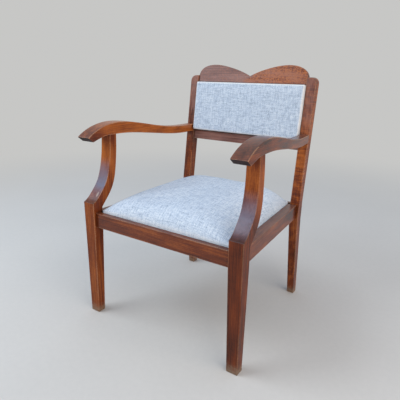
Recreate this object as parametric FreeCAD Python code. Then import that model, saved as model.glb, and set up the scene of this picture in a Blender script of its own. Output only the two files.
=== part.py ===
# Open armchair in dark oak with a drop-in seat and an upholstered back panel.
# Units are millimetres, +Z is up, the chair faces -Y, the floor is at zero height.
import FreeCAD, Part
import math
import os

V = FreeCAD.Vector

# Placing: front face of the front legs; every depth below is measured back from it.
front_face = -273.0

# Seat rails.
rail_top = 351.0
rail_height = 47.0
front_rail_setback = 9.0
front_rail_upstand = 17.0
front_ledge = 10.0
side_rail_outer_front = 269.0
side_rail_outer_rear = 234.5
side_rail_upstand = 31.0
side_ledge = 12.0
rear_rail_thickness = 28.0
rear_ledge = 12.0
rebate_depth = 16.0

# Front legs, each in one piece with the swept arm post above it.
leg_outer = 285.5
leg_inner = 242.3
leg_depth = 36.0
leg_foot_outer = 283.0
leg_foot_inner = 248.5
leg_foot_depth = 27.0
leg_edge_height = 384.0
post_top_height = 588.5
post_top_outer = 277.0
post_top_inner = 238.8
# Sweep of the post: depths of its two faces, at shares of the way from the edge to the top.
post_front_depths = [0.0, 12.5, 28.0, 41.0, 55.5, 67.5, 74.5, 79.0, 81.0]
post_front_shares = [0.0, 0.034, 0.103, 0.176, 0.274, 0.421, 0.567, 0.753, 1.0]
post_rear_depths = [36.0, 49.0, 73.0, 91.0, 102.5, 107.0, 108.0]
post_rear_shares = [-0.098, -0.027, 0.108, 0.274, 0.548, 0.787, 1.0]

# Rear posts: splayed leg below the seat, raked back above it.
rear_post_inner = 212.0
rear_post_outer_foot = 236.5
rear_post_outer_seat = 243.0
rear_post_outer_top = 245.0
rear_post_front = 464.0
rear_post_flat_low = 298.0
rear_post_flat_high = 356.0
rear_post_depth_seat = 31.0
rear_post_foot_front = 501.0
rear_post_foot_depth = 25.0
rear_post_top_height = 765.0
rear_post_top_front = 522.0
rear_post_top_depth = 28.0
rear_post_corner_radius = 20.0

# Arms, side view: depth of the upper and lower lines and height above the top of the post.
arm_top_line = [(-4.0, -1.5), (20.0, 13.5), (40.0, 22.3), (60.0, 28.7), (80.0, 33.1),
                (102.0, 35.9), (127.0, 36.5), (160.0, 34.0), (200.0, 28.3), (240.0, 21.0),
                (290.0, 11.5), (340.0, 3.5), (390.0, -1.5), (440.0, -3.1), (510.0, -1.5)]
arm_low_front_line = [(14.0, -15.5), (34.0, -8.9), (55.0, -3.3), (76.0, 0.0)]
arm_low_rear_line = [(113.0, 0.0), (160.0, -1.5), (227.0, -8.5), (300.0, -18.0),
                     (360.0, -25.5), (400.0, -28.5), (446.0, -29.3), (510.0, -27.5)]
# Arms, plan view: depth, inner and outer face.
arm_plan_line = [(-6.0, 239.2, 288.0), (95.0, 237.2, 284.2), (300.0, 227.0, 266.5),
                 (512.0, 212.8, 243.6)]

# Crest rail, square on: place on the half width and height of its outline above the post's end.
crest_line = [(0.0, 0.9), (12.0, 6.9), (28.0, 13.9), (50.0, 21.9), (80.0, 30.4), (112.0, 36.9),
              (140.0, 39.5), (166.0, 37.9), (186.0, 32.5), (200.0, 23.9), (208.5, 13.9), (212.0, 2.9)]
back_rail_setback = 6.0
back_rail_thickness = 17.0
lower_rail_drop = 34.3
panel_overlap = 16.0

# Upholstered back panel, measured along the rake from the top of the rear post.
panel_top_drop = 23.6
panel_height = 176.4
panel_half_width = 211.6
panel_board = 6.0
panel_front = 18.0
panel_crown = 1.6
panel_cloth_turn = 16.0

# Drop-in seat.
seat_gap = 1.0
seat_rest_gap = 0.3
seat_frame_thickness = 18.0
seat_frame_width = 45.0
seat_cloth_turn = 23.0
cloth = 1.0
bottom_cloth = 0.8
bottom_cloth_gap = 3.0
strap_width = 50.0
strap_thickness = 1.5
strap_end = 22.0
strap_inset = 27.0
cross_strap_share = [0.2, 0.4, 0.6, 0.8]
long_strap_offsets = [-105.0, 0.0, 105.0]
hessian_inset = 14.0
hessian_hem = 11.0
# Seat dome: rise of its edge above the rails and of its crown above the edge.
seat_edge_rise = 5.0
seat_crown_rise = 65.5
seat_corner_radius = 7.0
# Dome shape: share of the half width or of the length, and share of the crown's rise there.
dome_across_share = [(1.0, 0.0), (0.985, 0.2), (0.95, 0.39), (0.9, 0.554), (0.8, 0.751),
                     (0.65, 0.9), (0.45, 0.975), (0.2, 0.998)]
dome_along_share = [(0.0, 0.03), (0.009, 0.2), (0.022, 0.36), (0.045, 0.53), (0.083, 0.69),
                    (0.125, 0.765), (0.167, 0.815), (0.25, 0.885), (0.335, 0.93), (0.417, 0.96),
                    (0.5, 0.98), (0.583, 0.993), (0.667, 1.0), (0.75, 0.99), (0.833, 0.935),
                    (0.877, 0.82), (0.917, 0.65), (0.949, 0.46), (0.973, 0.29), (0.989, 0.15),
                    (1.0, 0.03)]
# Back panel crown: share of the half width, thickness taken off, drawn-in height, edge radius.
panel_end_stations = [(1.0, 9.0, 5.0, 3.0), (0.985, 4.0, 1.6, 6.0), (0.96, 1.6, 0.3, 8.0),
                      (0.90, 0.4, 0.0, 8.5), (0.45, 0.0, 0.0, 8.5), (0.0, 0.0, 0.0, 8.5)]

# Glue blocks, screws, dowels and tacks.
block_leg = 46.0
block_height = 24.0
block_drop = 20.0
screw_diameter = 4.5
screw_head = 8.5
screw_head_length = 3.0
screw_clearance = 0.2
block_screw_length = 34.0
block_screw_place = 22.0
block_screw_grip = 15.0
block_screw_spread = 6.0
panel_screw_diameter = 3.5
panel_screw_places = [-140.0, 0.0, 140.0]
panel_screw_bite = 4.0
dowel_diameter = 8.0
dowel_clearance = 0.15
dowel_in_rail = 24.0
dowel_in_leg = 20.0
dowel_in_leg_depth = 14.0
dowel_in_post = 18.0
rail_dowel_heights = [315.0, 339.0]
front_dowel_depth = 16.0
side_front_dowel_half = 256.0
side_rear_dowel_half = 223.0
rear_dowel_setback = 23.0
crest_dowel_drops = [28.1, 9.1]
lower_dowel_drops = [26.1, 13.1]
arm_dowel_diameter = 12.0
arm_dowel_up = 18.0
arm_dowel_down = 24.0
arm_dowel_half = 257.5
arm_dowel_depth = 94.5
arm_end_dowel_half = 228.5
arm_end_dowel_drop = 15.5
arm_end_dowel_reach = 22.0
frame_dowel_length = 34.0
frame_dowel_side = 20.0
tack_head = 5.0
tack_head_height = 0.6
tack_shank = 1.4
tack_length = 7.0
tack_clearance = 0.05
tack_inset = 18.0
tack_counts = (7, 7, 6)

# Softened arrises of the rails.
rail_arris = 1.2

# Derived heights and slopes.
rail_low = rail_top - rail_height
ledge_height = rail_top - rebate_depth
rear_rail_back = rear_post_front + rear_rail_thickness
side_slope = (side_rail_outer_rear - side_rail_outer_front) / (rear_post_front - leg_depth)
back_rise = rear_post_top_height - rear_post_flat_high
back_lean = math.atan2(rear_post_top_front - rear_post_front, back_rise)
back_length = back_rise / math.cos(back_lean)
panel_high = back_length - panel_top_drop
panel_low = panel_high - panel_height
lower_back_rail_low = panel_low - lower_rail_drop
arm_end_dowel_height = post_top_height - arm_end_dowel_drop
seat_edge = rail_top + seat_edge_rise
panel_stations = [(-s, t, d, r) for s, t, d, r in panel_end_stations[:-1]] + panel_end_stations[::-1]
seat_low = ledge_height + seat_rest_gap
frame_low = seat_low + cloth
frame_top = frame_low + seat_frame_thickness
strap_top = frame_top + 2.0 * strap_thickness
hessian_top = strap_top + cloth
seat_front = front_rail_setback + front_rail_upstand + seat_gap
seat_rear = rear_post_front + rear_ledge - seat_gap
crest_low = panel_high - panel_overlap
lower_back_rail_top = panel_low + panel_overlap
board_back = back_rail_setback - cloth
board_front = board_back - panel_board


def at(x, depth, z):
    return V(x, front_face + depth, z)


def side_outer(depth):
    return side_rail_outer_front + side_slope * (depth - leg_depth)


def seat_half(depth, inset=0.0):
    return side_outer(depth) - side_rail_upstand - seat_gap - inset


def mirrored(shape):
    return shape.mirror(V(0, 0, 0), V(1, 0, 0))


def line(a, b):
    return Part.makeLine(a, b)


def smooth(points):
    curve = Part.BSplineCurve()
    curve.interpolate(points)
    return curve.toShape()


def face_of(edges):
    return Part.Face(Part.Wire(Part.__sortEdges__(edges)))


def prism(points, reach):
    return Part.Face(Part.makePolygon(points + points[:1])).extrude(reach)


def box(x0, x1, depth0, depth1, z0, z1):
    return Part.makeBox(x1 - x0, depth1 - depth0, z1 - z0, at(x0, depth0, z0))


def rod(start, direction, diameter, length):
    return Part.makeCylinder(diameter / 2.0, length, start, direction)


def join(shapes):
    return shapes[0].multiFuse(shapes[1:]) if len(shapes) > 1 else shapes[0]


def softened(shape, radius, keep):
    edges = [e for e in shape.Edges if keep(e)]
    return shape.makeFillet(radius, edges)


def long_edge(least):
    return lambda edge: edge.Length > least


def leaned(shape):
    # Stands a shape drawn upright on the flat of the rear post back to the rake of the post.
    copy = shape.copy()
    copy.rotate(at(0, rear_post_front, rear_post_flat_high), V(1, 0, 0), -math.degrees(back_lean))
    return copy


def on_back(x, setback, height):
    return at(x, rear_post_front + setback, rear_post_flat_high + height)


# Dowels and their holes, each with its group name: start, direction, diameter, length.
def seat_rail_dowel_list():
    rods = []
    length_front = dowel_in_rail + dowel_in_leg
    length_side = dowel_in_rail + dowel_in_leg_depth
    length_post = dowel_in_rail + dowel_in_post
    back = V(0, 1, 0)
    for z in rail_dowel_heights:
        for side in (-1, 1):
            out = V(side, 0, 0)
            in_front_rail = side * (leg_inner - dowel_in_rail)
            in_rear_rail = side * (rear_post_inner - dowel_in_rail)
            in_leg = leg_depth - dowel_in_leg_depth
            in_side_rail = rear_post_front - dowel_in_rail
            rods.append((at(in_front_rail, front_dowel_depth, z), out, length_front))
            rods.append((at(side * side_front_dowel_half, in_leg, z), back, length_side))
            rods.append((at(side * side_rear_dowel_half, in_side_rail, z), back, length_post))
            rods.append((at(in_rear_rail, rear_post_front + rear_dowel_setback, z), out, length_post))
    return rods


def back_dowel_list():
    setback = back_rail_setback + back_rail_thickness / 2.0
    length = dowel_in_rail + dowel_in_post
    heights = [back_length - d for d in crest_dowel_drops] + [panel_low - d for d in lower_dowel_drops]
    return [(on_back(side * (rear_post_inner - dowel_in_rail), setback, height), V(side, 0, 0), length)
            for height in heights for side in (-1, 1)]


def arm_dowel_list():
    rods = []
    reach = arm_end_dowel_reach
    end_depth = rear_post_front + (arm_end_dowel_height - rear_post_flat_high) * math.tan(back_lean)
    for side in (-1, 1):
        low = post_top_height - arm_dowel_down
        rods.append((at(side * arm_dowel_half, arm_dowel_depth, low), V(0, 0, 1),
                     arm_dowel_up + arm_dowel_down))
        rods.append((at(side * arm_end_dowel_half, end_depth - reach, arm_end_dowel_height),
                     V(0, 1, 0), reach + dowel_in_post))
    return rods


def rods_of(rods, diameter, extra=0.0):
    return [rod(start - direction * extra, direction, diameter + 2.0 * extra, length + 2.0 * extra)
            for start, direction, length in rods]


def seat_rail_dowels():
    return Part.makeCompound(rods_of(seat_rail_dowel_list(), dowel_diameter))


def seat_rail_dowel_holes():
    return rods_of(seat_rail_dowel_list(), dowel_diameter, dowel_clearance)


def back_dowels():
    return leaned(Part.makeCompound(rods_of(back_dowel_list(), dowel_diameter)))


def back_dowel_holes():
    return [leaned(r) for r in rods_of(back_dowel_list(), dowel_diameter, dowel_clearance)]


def arm_dowels():
    return Part.makeCompound(rods_of(arm_dowel_list(), arm_dowel_diameter))


def arm_dowel_holes():
    return rods_of(arm_dowel_list(), arm_dowel_diameter, dowel_clearance)


# Screws: seat of the head, direction of the point.
def screw(seat, direction, diameter, length):
    head = Part.makeCone(screw_head / 2.0, diameter / 2.0, screw_head_length, seat, direction)
    return head.fuse(rod(seat, direction, diameter, length))


def screw_hole(seat, direction, diameter, length, sink):
    gap = screw_clearance
    head = Part.makeCone(screw_head / 2.0 + gap, diameter / 2.0 + gap, screw_head_length, seat, direction)
    shank = rod(seat, direction, diameter + 2.0 * gap, length + gap)
    well = rod(seat - direction * sink, direction, screw_head + 2.0 * gap, sink)
    return join([head, shank, well])


def block_screw_list():
    # Two screws in each glue block, one into each of the rails it joins.
    screws = []
    middle = block_low() + block_height / 2.0
    back_off = block_screw_length - block_screw_grip
    for side in (-1, 1):
        for corner, into in ((leg_depth, -1), (rear_post_front, 1)):
            corner_half = side_outer(corner) - side_rail_upstand - side_ledge
            x = side * (corner_half - block_screw_place)
            screws.append((at(x, corner - into * back_off, middle - block_screw_spread), V(0, into, 0)))
            depth = corner - into * block_screw_place
            face = side_outer(depth) - side_rail_upstand - side_ledge
            screws.append((at(side * (face - back_off), depth, middle + block_screw_spread), V(side, 0, 0)))
    return screws


def block_low():
    return ledge_height - block_drop - block_height / 2.0


def corner_block_screws():
    return Part.makeCompound([screw(s, d, screw_diameter, block_screw_length)
                              for s, d in block_screw_list()])


def corner_block_screw_holes():
    return [screw_hole(s, d, screw_diameter, block_screw_length, block_leg) for s, d in block_screw_list()]


def panel_screw_list():
    seat = back_rail_setback + back_rail_thickness
    heights = (panel_low + panel_overlap / 2.0, panel_high - panel_overlap / 2.0)
    return [(on_back(x, seat, h), V(0, -1, 0)) for h in heights for x in panel_screw_places]


def panel_screw_length():
    return back_rail_thickness + cloth + panel_screw_bite


def back_screws():
    return leaned(Part.makeCompound([screw(s, d, panel_screw_diameter, panel_screw_length())
                                     for s, d in panel_screw_list()]))


def back_screw_holes():
    return [leaned(screw_hole(s, d, panel_screw_diameter, panel_screw_length(), seat_gap))
            for s, d in panel_screw_list()]


# Legs and posts.
def post_line(depths, shares):
    rise = post_top_height - leg_edge_height
    return [at(0, d, leg_edge_height + s * rise) for d, s in zip(depths, shares)]


def front_leg_right():
    front = post_line(post_front_depths, post_front_shares)
    rear = post_line(post_rear_depths, post_rear_shares)
    foot_front, foot_rear = at(0, 0, 0), at(0, leg_foot_depth, 0)
    knee = at(0, leg_depth, rail_low)
    side = face_of([line(foot_front, front[0]), smooth(front), line(front[-1], rear[-1]), smooth(rear),
                    line(rear[0], knee), line(knee, foot_rear), line(foot_rear, foot_front)])
    side = side.extrude(V(leg_outer, 0, 0))
    outline = [(leg_foot_inner, 0), (leg_foot_outer, 0), (leg_outer, leg_edge_height),
               (post_top_outer, post_top_height), (post_top_inner, post_top_height),
               (leg_inner, leg_edge_height), (leg_inner, rail_low)]
    reach = V(0, 2.0 * leg_depth + post_rear_depths[-1], 0)
    facing = prism([at(x, -leg_depth, z) for x, z in outline], reach)
    leg = side.common(facing)
    for hole in seat_rail_dowel_holes() + arm_dowel_holes():
        leg = leg.cut(hole)
    return leg


def rear_post_right():
    foot_back = rear_post_foot_front + rear_post_foot_depth
    seat_back = rear_post_front + rear_post_depth_seat
    top_back = rear_post_top_front + rear_post_top_depth
    outline = [(rear_post_foot_front, 0), (rear_post_front, rear_post_flat_low),
               (rear_post_front, rear_post_flat_high), (rear_post_top_front, rear_post_top_height),
               (top_back, rear_post_top_height), (seat_back, rear_post_flat_high),
               (seat_back, rear_post_flat_low), (foot_back, 0)]
    side = prism([at(rear_post_inner, d, z) for d, z in outline], V(rear_post_top_height, 0, 0))
    middle = (rear_post_flat_low + rear_post_flat_high) / 2.0
    r = rear_post_corner_radius
    corner = at(rear_post_outer_top, 0, rear_post_top_height)
    turn = r * (1.0 - math.sqrt(0.5))
    arc = Part.Arc(corner - V(0, 0, r), corner - V(turn, 0, turn), corner - V(r, 0, 0)).toShape()
    low_in, low_out = at(rear_post_inner, 0, 0), at(rear_post_outer_foot, 0, 0)
    mid_out = at(rear_post_outer_seat, 0, middle)
    top_in = at(rear_post_inner, 0, rear_post_top_height)
    facing = face_of([line(low_in, low_out), line(low_out, mid_out), line(mid_out, corner - V(0, 0, r)),
                      arc, line(corner - V(r, 0, 0), top_in), line(top_in, low_in)])
    post = side.common(facing.extrude(V(0, rear_post_top_height, 0)))
    for hole in seat_rail_dowel_holes() + back_dowel_holes() + arm_dowel_holes():
        post = post.cut(hole)
    return post


def arm_line(points):
    return [at(0, d, post_top_height + h) for d, h in points]


def arm_right():
    top, low_front, low_rear = (arm_line(p) for p in (arm_top_line, arm_low_front_line, arm_low_rear_line))
    side = face_of([smooth(top), line(top[-1], low_rear[-1]), smooth(low_rear),
                    line(low_rear[0], low_front[-1]), smooth(low_front), line(low_front[0], top[0])])
    side = side.extrude(V(leg_outer + leg_depth, 0, 0))
    inner = [at(i, d, 0) for d, i, o in arm_plan_line]
    outer = [at(o, d, 0) for d, i, o in arm_plan_line]
    plan = face_of([smooth(inner), smooth(outer), line(inner[0], outer[0]), line(inner[-1], outer[-1])])
    plan = plan.extrude(V(0, 0, rear_post_top_height))
    arm = side.common(plan)
    behind = [(rear_post_front, rear_post_flat_high), (rear_post_top_front, rear_post_top_height),
              (rear_post_top_height, rear_post_top_height), (rear_post_top_height, rear_post_flat_high)]
    arm = arm.cut(prism([at(0, d, z) for d, z in behind], V(rear_post_top_height, 0, 0)))
    for hole in arm_dowel_holes():
        arm = arm.cut(hole)
    return arm


# Seat rails.
def front_seat_rail():
    back = leg_depth
    rail = box(-leg_inner, leg_inner, front_rail_setback, back, rail_low, rail_top)
    middle = front_face + leg_depth / 2.0
    rail = softened(rail, rail_arris, lambda e: e.Length > leg_inner and e.CenterOfMass.y < middle)
    rail = rail.cut(box(-leg_inner, leg_inner, back - front_ledge, back, ledge_height, rail_top))
    for hole in seat_rail_dowel_holes() + corner_block_screw_holes():
        rail = rail.cut(hole)
    return rail


def rear_seat_rail():
    rail = box(-rear_post_inner, rear_post_inner, rear_post_front, rear_rail_back, rail_low, rail_top)
    behind = front_face + rear_rail_back - rail_arris
    rail = softened(rail, rail_arris, lambda e: e.Length > leg_inner and e.CenterOfMass.y > behind)
    rail = rail.cut(box(-rear_post_inner, rear_post_inner, rear_post_front, rear_post_front + rear_ledge,
                        ledge_height, rail_top))
    for hole in seat_rail_dowel_holes() + corner_block_screw_holes():
        rail = rail.cut(hole)
    return rail


def side_strip(low, high, z0, z1):
    # A strip along the side rail between two distances in from its outer face.
    a, b = leg_depth, rear_post_front
    return prism([at(side_outer(a) - high, a, z0), at(side_outer(a) - low, a, z0),
                  at(side_outer(b) - low, b, z0), at(side_outer(b) - high, b, z0)], V(0, 0, z1 - z0))


def side_seat_rail_right():
    width = side_rail_upstand + side_ledge
    rail = side_strip(0.0, width, rail_low, rail_top)
    outside = side_outer((leg_depth + rear_post_front) / 2.0) - rail_arris
    rail = softened(rail, rail_arris, lambda e: e.Length > leg_inner and e.CenterOfMass.x > outside)
    rail = rail.cut(side_strip(side_rail_upstand, width, ledge_height, rail_top))
    for hole in seat_rail_dowel_holes() + corner_block_screw_holes():
        rail = rail.cut(hole)
    return rail


def corner_block(side, corner, into):
    half = side_outer(corner) - side_rail_upstand - side_ledge
    far = corner - into * block_leg
    half_far = side_outer(far) - side_rail_upstand - side_ledge
    z = block_low()
    block = prism([at(side * half, corner, z), at(side * (half - block_leg), corner, z),
                   at(side * half_far, far, z)], V(0, 0, block_height))
    for hole in corner_block_screw_holes():
        block = block.cut(hole)
    return block


# Crest and lower back rail.
def crest_rail():
    right = [on_back(x, back_rail_setback, back_length + h) for x, h in crest_line]
    left = [on_back(-x, back_rail_setback, back_length + h) for x, h in crest_line]
    low_right = on_back(crest_line[-1][0], back_rail_setback, crest_low)
    low_left = on_back(-crest_line[-1][0], back_rail_setback, crest_low)
    crest = face_of([smooth(left), smooth(right), line(right[-1], low_right), line(low_right, low_left),
                     line(low_left, left[-1])]).extrude(V(0, back_rail_thickness, 0))
    crest = leaned(crest)
    for hole in back_dowel_holes() + back_screw_holes():
        crest = crest.cut(hole)
    return crest


def lower_back_rail():
    low = on_back(-rear_post_inner, back_rail_setback, lower_back_rail_low)
    height = lower_back_rail_top - lower_back_rail_low
    rail = Part.makeBox(2.0 * rear_post_inner, back_rail_thickness, height, low)
    rail = leaned(softened(rail, rail_arris, long_edge(leg_inner)))
    for hole in back_dowel_holes() + back_screw_holes():
        rail = rail.cut(hole)
    return rail


# Cushions: one closed section per station, lofted from end to end.
def panel_section(place, half, base, shoulder, crown, radius):
    bend = radius * math.sqrt(0.5)
    low = [place(-half, base), place(half, base)]
    rise = [place(half, shoulder - radius), place(half - radius, shoulder)]
    fall = [place(-half + radius, shoulder), place(-half, shoulder - radius)]
    turn = half - radius + bend
    arc_up = Part.Arc(rise[0], place(turn, shoulder - radius + bend), rise[1]).toShape()
    arc_over = Part.Arc(rise[1], place(0, crown), fall[0]).toShape()
    arc_down = Part.Arc(fall[0], place(-turn, shoulder - radius + bend), fall[1]).toShape()
    return Part.Wire([line(low[0], low[1]), line(low[1], rise[0]), arc_up, arc_over, arc_down,
                      line(fall[1], low[0])])


def dome_section(depth, half, base, edge, rise):
    points = [(s * half, edge + r * rise) for s, r in dome_across_share]
    right = [at(x, depth, z) for x, z in points]
    left = [at(-x, depth, z) for x, z in reversed(points)]
    low_left, low_right = at(-half, depth, base), at(half, depth, base)
    return Part.Wire([line(low_left, low_right), line(low_right, right[0]),
                      smooth(right + [at(0, depth, edge + rise)] + left), line(left[-1], low_left)])


def corner_draw(from_end):
    r = seat_corner_radius
    near = min(from_end, r)
    return r - math.sqrt(r * r - (r - near) * (r - near))


def seat_cushion(base, inset):
    a, b = seat_front + inset, seat_rear - inset
    wires = []
    for along, share in dome_along_share:
        depth = a + along * (b - a)
        half = seat_half(depth, inset + corner_draw(min(depth - a, b - depth)))
        wires.append(dome_section(depth, half, base, seat_edge - inset, share * seat_crown_rise))
    return Part.makeLoft(wires, True, True)


def panel_cushion(base, inset):
    wires = []
    middle = (panel_low + panel_high) / 2.0
    half_height = (panel_high - panel_low) / 2.0
    for share, thin, drawn, radius in panel_stations:
        x = share * panel_half_width - math.copysign(inset, share) * (abs(share) == 1.0)

        def place(h, t, px=x):
            return on_back(px, back_rail_setback - t, middle + h)
        shoulder = panel_front - thin - inset
        crown = shoulder + panel_crown * (1.0 - share * share) + panel_crown / 10.0
        wires.append(panel_section(place, half_height - drawn - inset, base, shoulder, crown, radius))
    return Part.makeLoft(wires, True, True)


def panel_plate(end_inset, inset, setback, thickness):
    low = on_back(-panel_half_width + end_inset, setback, panel_low + inset)
    width, height = 2.0 * (panel_half_width - end_inset), panel_height - 2.0 * inset
    return Part.makeBox(width, thickness, height, low)


def board_plate(thickness):
    # The board stops short of the drawn-in ends of the cover.
    end_inset, inset = panel_stations[0][2] + cloth, panel_stations[1][2] + cloth
    return panel_plate(end_inset, inset, board_front, thickness)


def back_board():
    board = leaned(board_plate(panel_board))
    for hole in back_screw_holes():
        board = board.cut(hole)
    return board


def back_foam():
    return leaned(panel_cushion(cloth, cloth).cut(board_plate(panel_board + cloth)))


def back_cover():
    shell = panel_cushion(0.0, 0.0).cut(panel_cushion(cloth, cloth))
    shell = leaned(shell.cut(panel_plate(panel_cloth_turn, panel_cloth_turn, board_back, 2.0 * cloth)))
    for hole in back_screw_holes():
        shell = shell.cut(hole)
    return shell


def back_rear_cloth():
    inset = panel_cloth_turn + tack_clearance
    return leaned(panel_plate(inset, inset, board_back, cloth))


# Drop-in seat frame and its layers.
def seat_outline(inset, z):
    a, b = seat_front + inset, seat_rear - inset
    return [at(-seat_half(a, inset), a, z), at(seat_half(a, inset), a, z),
            at(seat_half(b, inset), b, z), at(-seat_half(b, inset), b, z)]


def seat_plate(inset, z0, z1):
    return prism(seat_outline(inset, z0), V(0, 0, z1 - z0))


def frame_ring():
    corners = seat_plate(cloth, frame_low, frame_top).common(seat_cushion(frame_low, cloth))
    return corners.cut(seat_plate(seat_frame_width + cloth, frame_low, frame_top))


def tack_list():
    points = []
    a, b = seat_front + tack_inset, seat_rear - tack_inset
    across_front, across_rear, along = tack_counts
    for depth, count in ((a, across_front), (b, across_rear)):
        half = seat_half(depth, tack_inset)
        points += [at(-half + 2.0 * half * i / (count - 1), depth, 0) for i in range(count)]
    for i in range(1, along + 1):
        depth = a + (b - a) * i / (along + 1)
        points += [at(side * seat_half(depth, tack_inset), depth, 0) for side in (-1, 1)]
    return points


def tack(point, extra=0.0):
    low = seat_low - bottom_cloth
    head = rod(V(point.x, point.y, low - tack_head_height), V(0, 0, 1), tack_head, tack_head_height)
    shank = rod(V(point.x, point.y, low - extra), V(0, 0, 1), tack_shank + 2.0 * extra, tack_length + extra)
    return shank if extra else head.fuse(shank)


def seat_tacks():
    return Part.makeCompound([tack(p) for p in tack_list()])


def tack_holes():
    return Part.makeCompound([tack(p, tack_clearance) for p in tack_list()])


def frame_dowel_list():
    rods = []
    z = (frame_low + frame_top) / 2.0
    reach = cloth + seat_frame_width
    for depth, into in ((seat_front + reach, 1), (seat_rear - reach, -1)):
        for side in (-1, 1):
            x = side * (seat_half(depth, cloth) - frame_dowel_side)
            rods.append((at(x, depth - into * frame_dowel_length / 2.0, z), V(0, into, 0),
                         frame_dowel_length))
    return rods


def seat_frame_dowels():
    return Part.makeCompound(rods_of(frame_dowel_list(), dowel_diameter))


def seat_frame_pieces():
    ring = frame_ring()
    wide = leg_outer
    a = seat_front + cloth + seat_frame_width
    b = seat_rear - cloth - seat_frame_width
    cutters = {"seat_frame_front": box(-wide, wide, 0, a, frame_low, frame_top),
               "seat_frame_rear": box(-wide, wide, b, rear_rail_back, frame_low, frame_top),
               "seat_frame_left": box(-wide, 0, a, b, frame_low, frame_top),
               "seat_frame_right": box(0, wide, a, b, frame_low, frame_top)}
    pieces = {}
    for name, cutter in cutters.items():
        piece = ring.common(cutter).cut(tack_holes())
        for hole in rods_of(frame_dowel_list(), dowel_diameter, dowel_clearance):
            piece = piece.cut(hole)
        pieces[name] = piece
    return pieces


def strap(x0, x1, d0, d1, z0, along_x):
    # A flat strap with its two ends folded over to double thickness.
    body = box(x0, x1, d0, d1, z0, z0 + strap_thickness)
    if along_x:
        ends = [box(x0, x0 + strap_end, d0, d1, frame_top, strap_top),
                box(x1 - strap_end, x1, d0, d1, frame_top, strap_top)]
    else:
        ends = [box(x0, x1, d0, d0 + strap_end, frame_top, strap_top),
                box(x0, x1, d1 - strap_end, d1, frame_top, strap_top)]
    return join([body] + ends).removeSplitter()


def seat_webbing_crosswise():
    straps = []
    span = seat_rear - seat_front
    for share in cross_strap_share:
        near = seat_front + span * share - strap_width / 2.0
        half = seat_half(near + strap_width, strap_inset)
        straps.append(strap(-half, half, near, near + strap_width, frame_top, True))
    return Part.makeCompound(straps)


def seat_webbing_lengthwise():
    a, b = seat_front + strap_inset, seat_rear - strap_inset
    half = strap_width / 2.0
    return Part.makeCompound([strap(x - half, x + half, a, b, frame_top + strap_thickness, False)
                              for x in long_strap_offsets])


def seat_hessian():
    sheet = seat_plate(hessian_inset, strap_top, hessian_top)
    hem = seat_plate(hessian_inset, frame_top, strap_top)
    hem = hem.cut(seat_plate(hessian_inset + hessian_hem, frame_top, strap_top))
    return sheet.fuse(hem).removeSplitter()


def seat_pad():
    dome = seat_cushion(frame_top, cloth)
    return dome.cut(seat_plate(hessian_inset, frame_top, hessian_top))


def seat_cover():
    shell = seat_cushion(seat_low, 0.0).cut(seat_cushion(frame_low, cloth))
    shell = shell.cut(seat_plate(seat_cloth_turn, seat_low, frame_low))
    return shell.cut(tack_holes())


def seat_bottom_cloth():
    a = leg_depth + bottom_cloth_gap
    b = rear_post_front - bottom_cloth_gap
    inset = side_rail_upstand + side_ledge + bottom_cloth_gap
    z = seat_low - bottom_cloth
    half_a, half_b = side_outer(a) - inset, side_outer(b) - inset
    sheet = prism([at(-half_a, a, z), at(half_a, a, z), at(half_b, b, z), at(-half_b, b, z)],
                  V(0, 0, bottom_cloth))
    return sheet.cut(tack_holes())


def all_nodes():
    nodes = {}
    for name, make in (("front_leg", front_leg_right), ("rear_post", rear_post_right), ("arm", arm_right),
                       ("side_seat_rail", side_seat_rail_right)):
        nodes[name + "_right"] = make()
        nodes[name + "_left"] = mirrored(nodes[name + "_right"])
    for side, word in ((-1, "left"), (1, "right")):
        nodes["corner_block_front_" + word] = corner_block(side, leg_depth, -1)
        nodes["corner_block_rear_" + word] = corner_block(side, rear_post_front, 1)
    for make in (front_seat_rail, rear_seat_rail, crest_rail, lower_back_rail, seat_rail_dowels,
                 back_dowels, arm_dowels, corner_block_screws, back_board, back_foam, back_cover,
                 back_rear_cloth, back_screws, seat_frame_dowels, seat_webbing_crosswise,
                 seat_webbing_lengthwise, seat_hessian, seat_pad, seat_cover, seat_bottom_cloth,
                 seat_tacks):
        nodes[make.__name__] = make()
    nodes.update(seat_frame_pieces())
    return nodes


os.makedirs("parts", exist_ok=True)
for node, shape in all_nodes().items():
    shape.exportStep("parts/" + node + ".step")
    print(node, "valid" if shape.isValid() else "not valid", round(shape.Volume), len(shape.Solids))
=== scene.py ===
import math
import bmesh
import bpy
import numpy as np
from mathutils import Matrix, Vector
from mathutils.bvhtree import BVHTree


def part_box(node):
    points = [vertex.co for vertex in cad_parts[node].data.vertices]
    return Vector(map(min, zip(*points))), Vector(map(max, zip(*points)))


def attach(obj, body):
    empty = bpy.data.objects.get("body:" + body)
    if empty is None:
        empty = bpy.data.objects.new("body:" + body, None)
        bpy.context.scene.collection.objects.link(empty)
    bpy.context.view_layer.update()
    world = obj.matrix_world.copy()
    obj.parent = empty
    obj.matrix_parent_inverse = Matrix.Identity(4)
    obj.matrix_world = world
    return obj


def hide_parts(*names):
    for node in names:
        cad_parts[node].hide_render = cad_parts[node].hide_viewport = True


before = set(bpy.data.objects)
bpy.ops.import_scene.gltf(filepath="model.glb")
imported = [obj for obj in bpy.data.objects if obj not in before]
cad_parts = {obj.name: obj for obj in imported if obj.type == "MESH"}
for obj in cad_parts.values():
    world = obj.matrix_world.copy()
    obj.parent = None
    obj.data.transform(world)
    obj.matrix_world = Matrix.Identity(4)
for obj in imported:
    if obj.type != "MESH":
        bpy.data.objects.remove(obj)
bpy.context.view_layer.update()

scene = bpy.context.scene
mm = 0.001
print("frame loaded,", len(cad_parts), "nodes")

# camera at the photograph's place
shot = {"place": (0.7131, -1.0937, 0.7810), "heading": 34.18, "pitch": 17.33, "roll": 0.78, "lens": 37.27,
        "sensor": 36.0, "farClip": 60.0}


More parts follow.
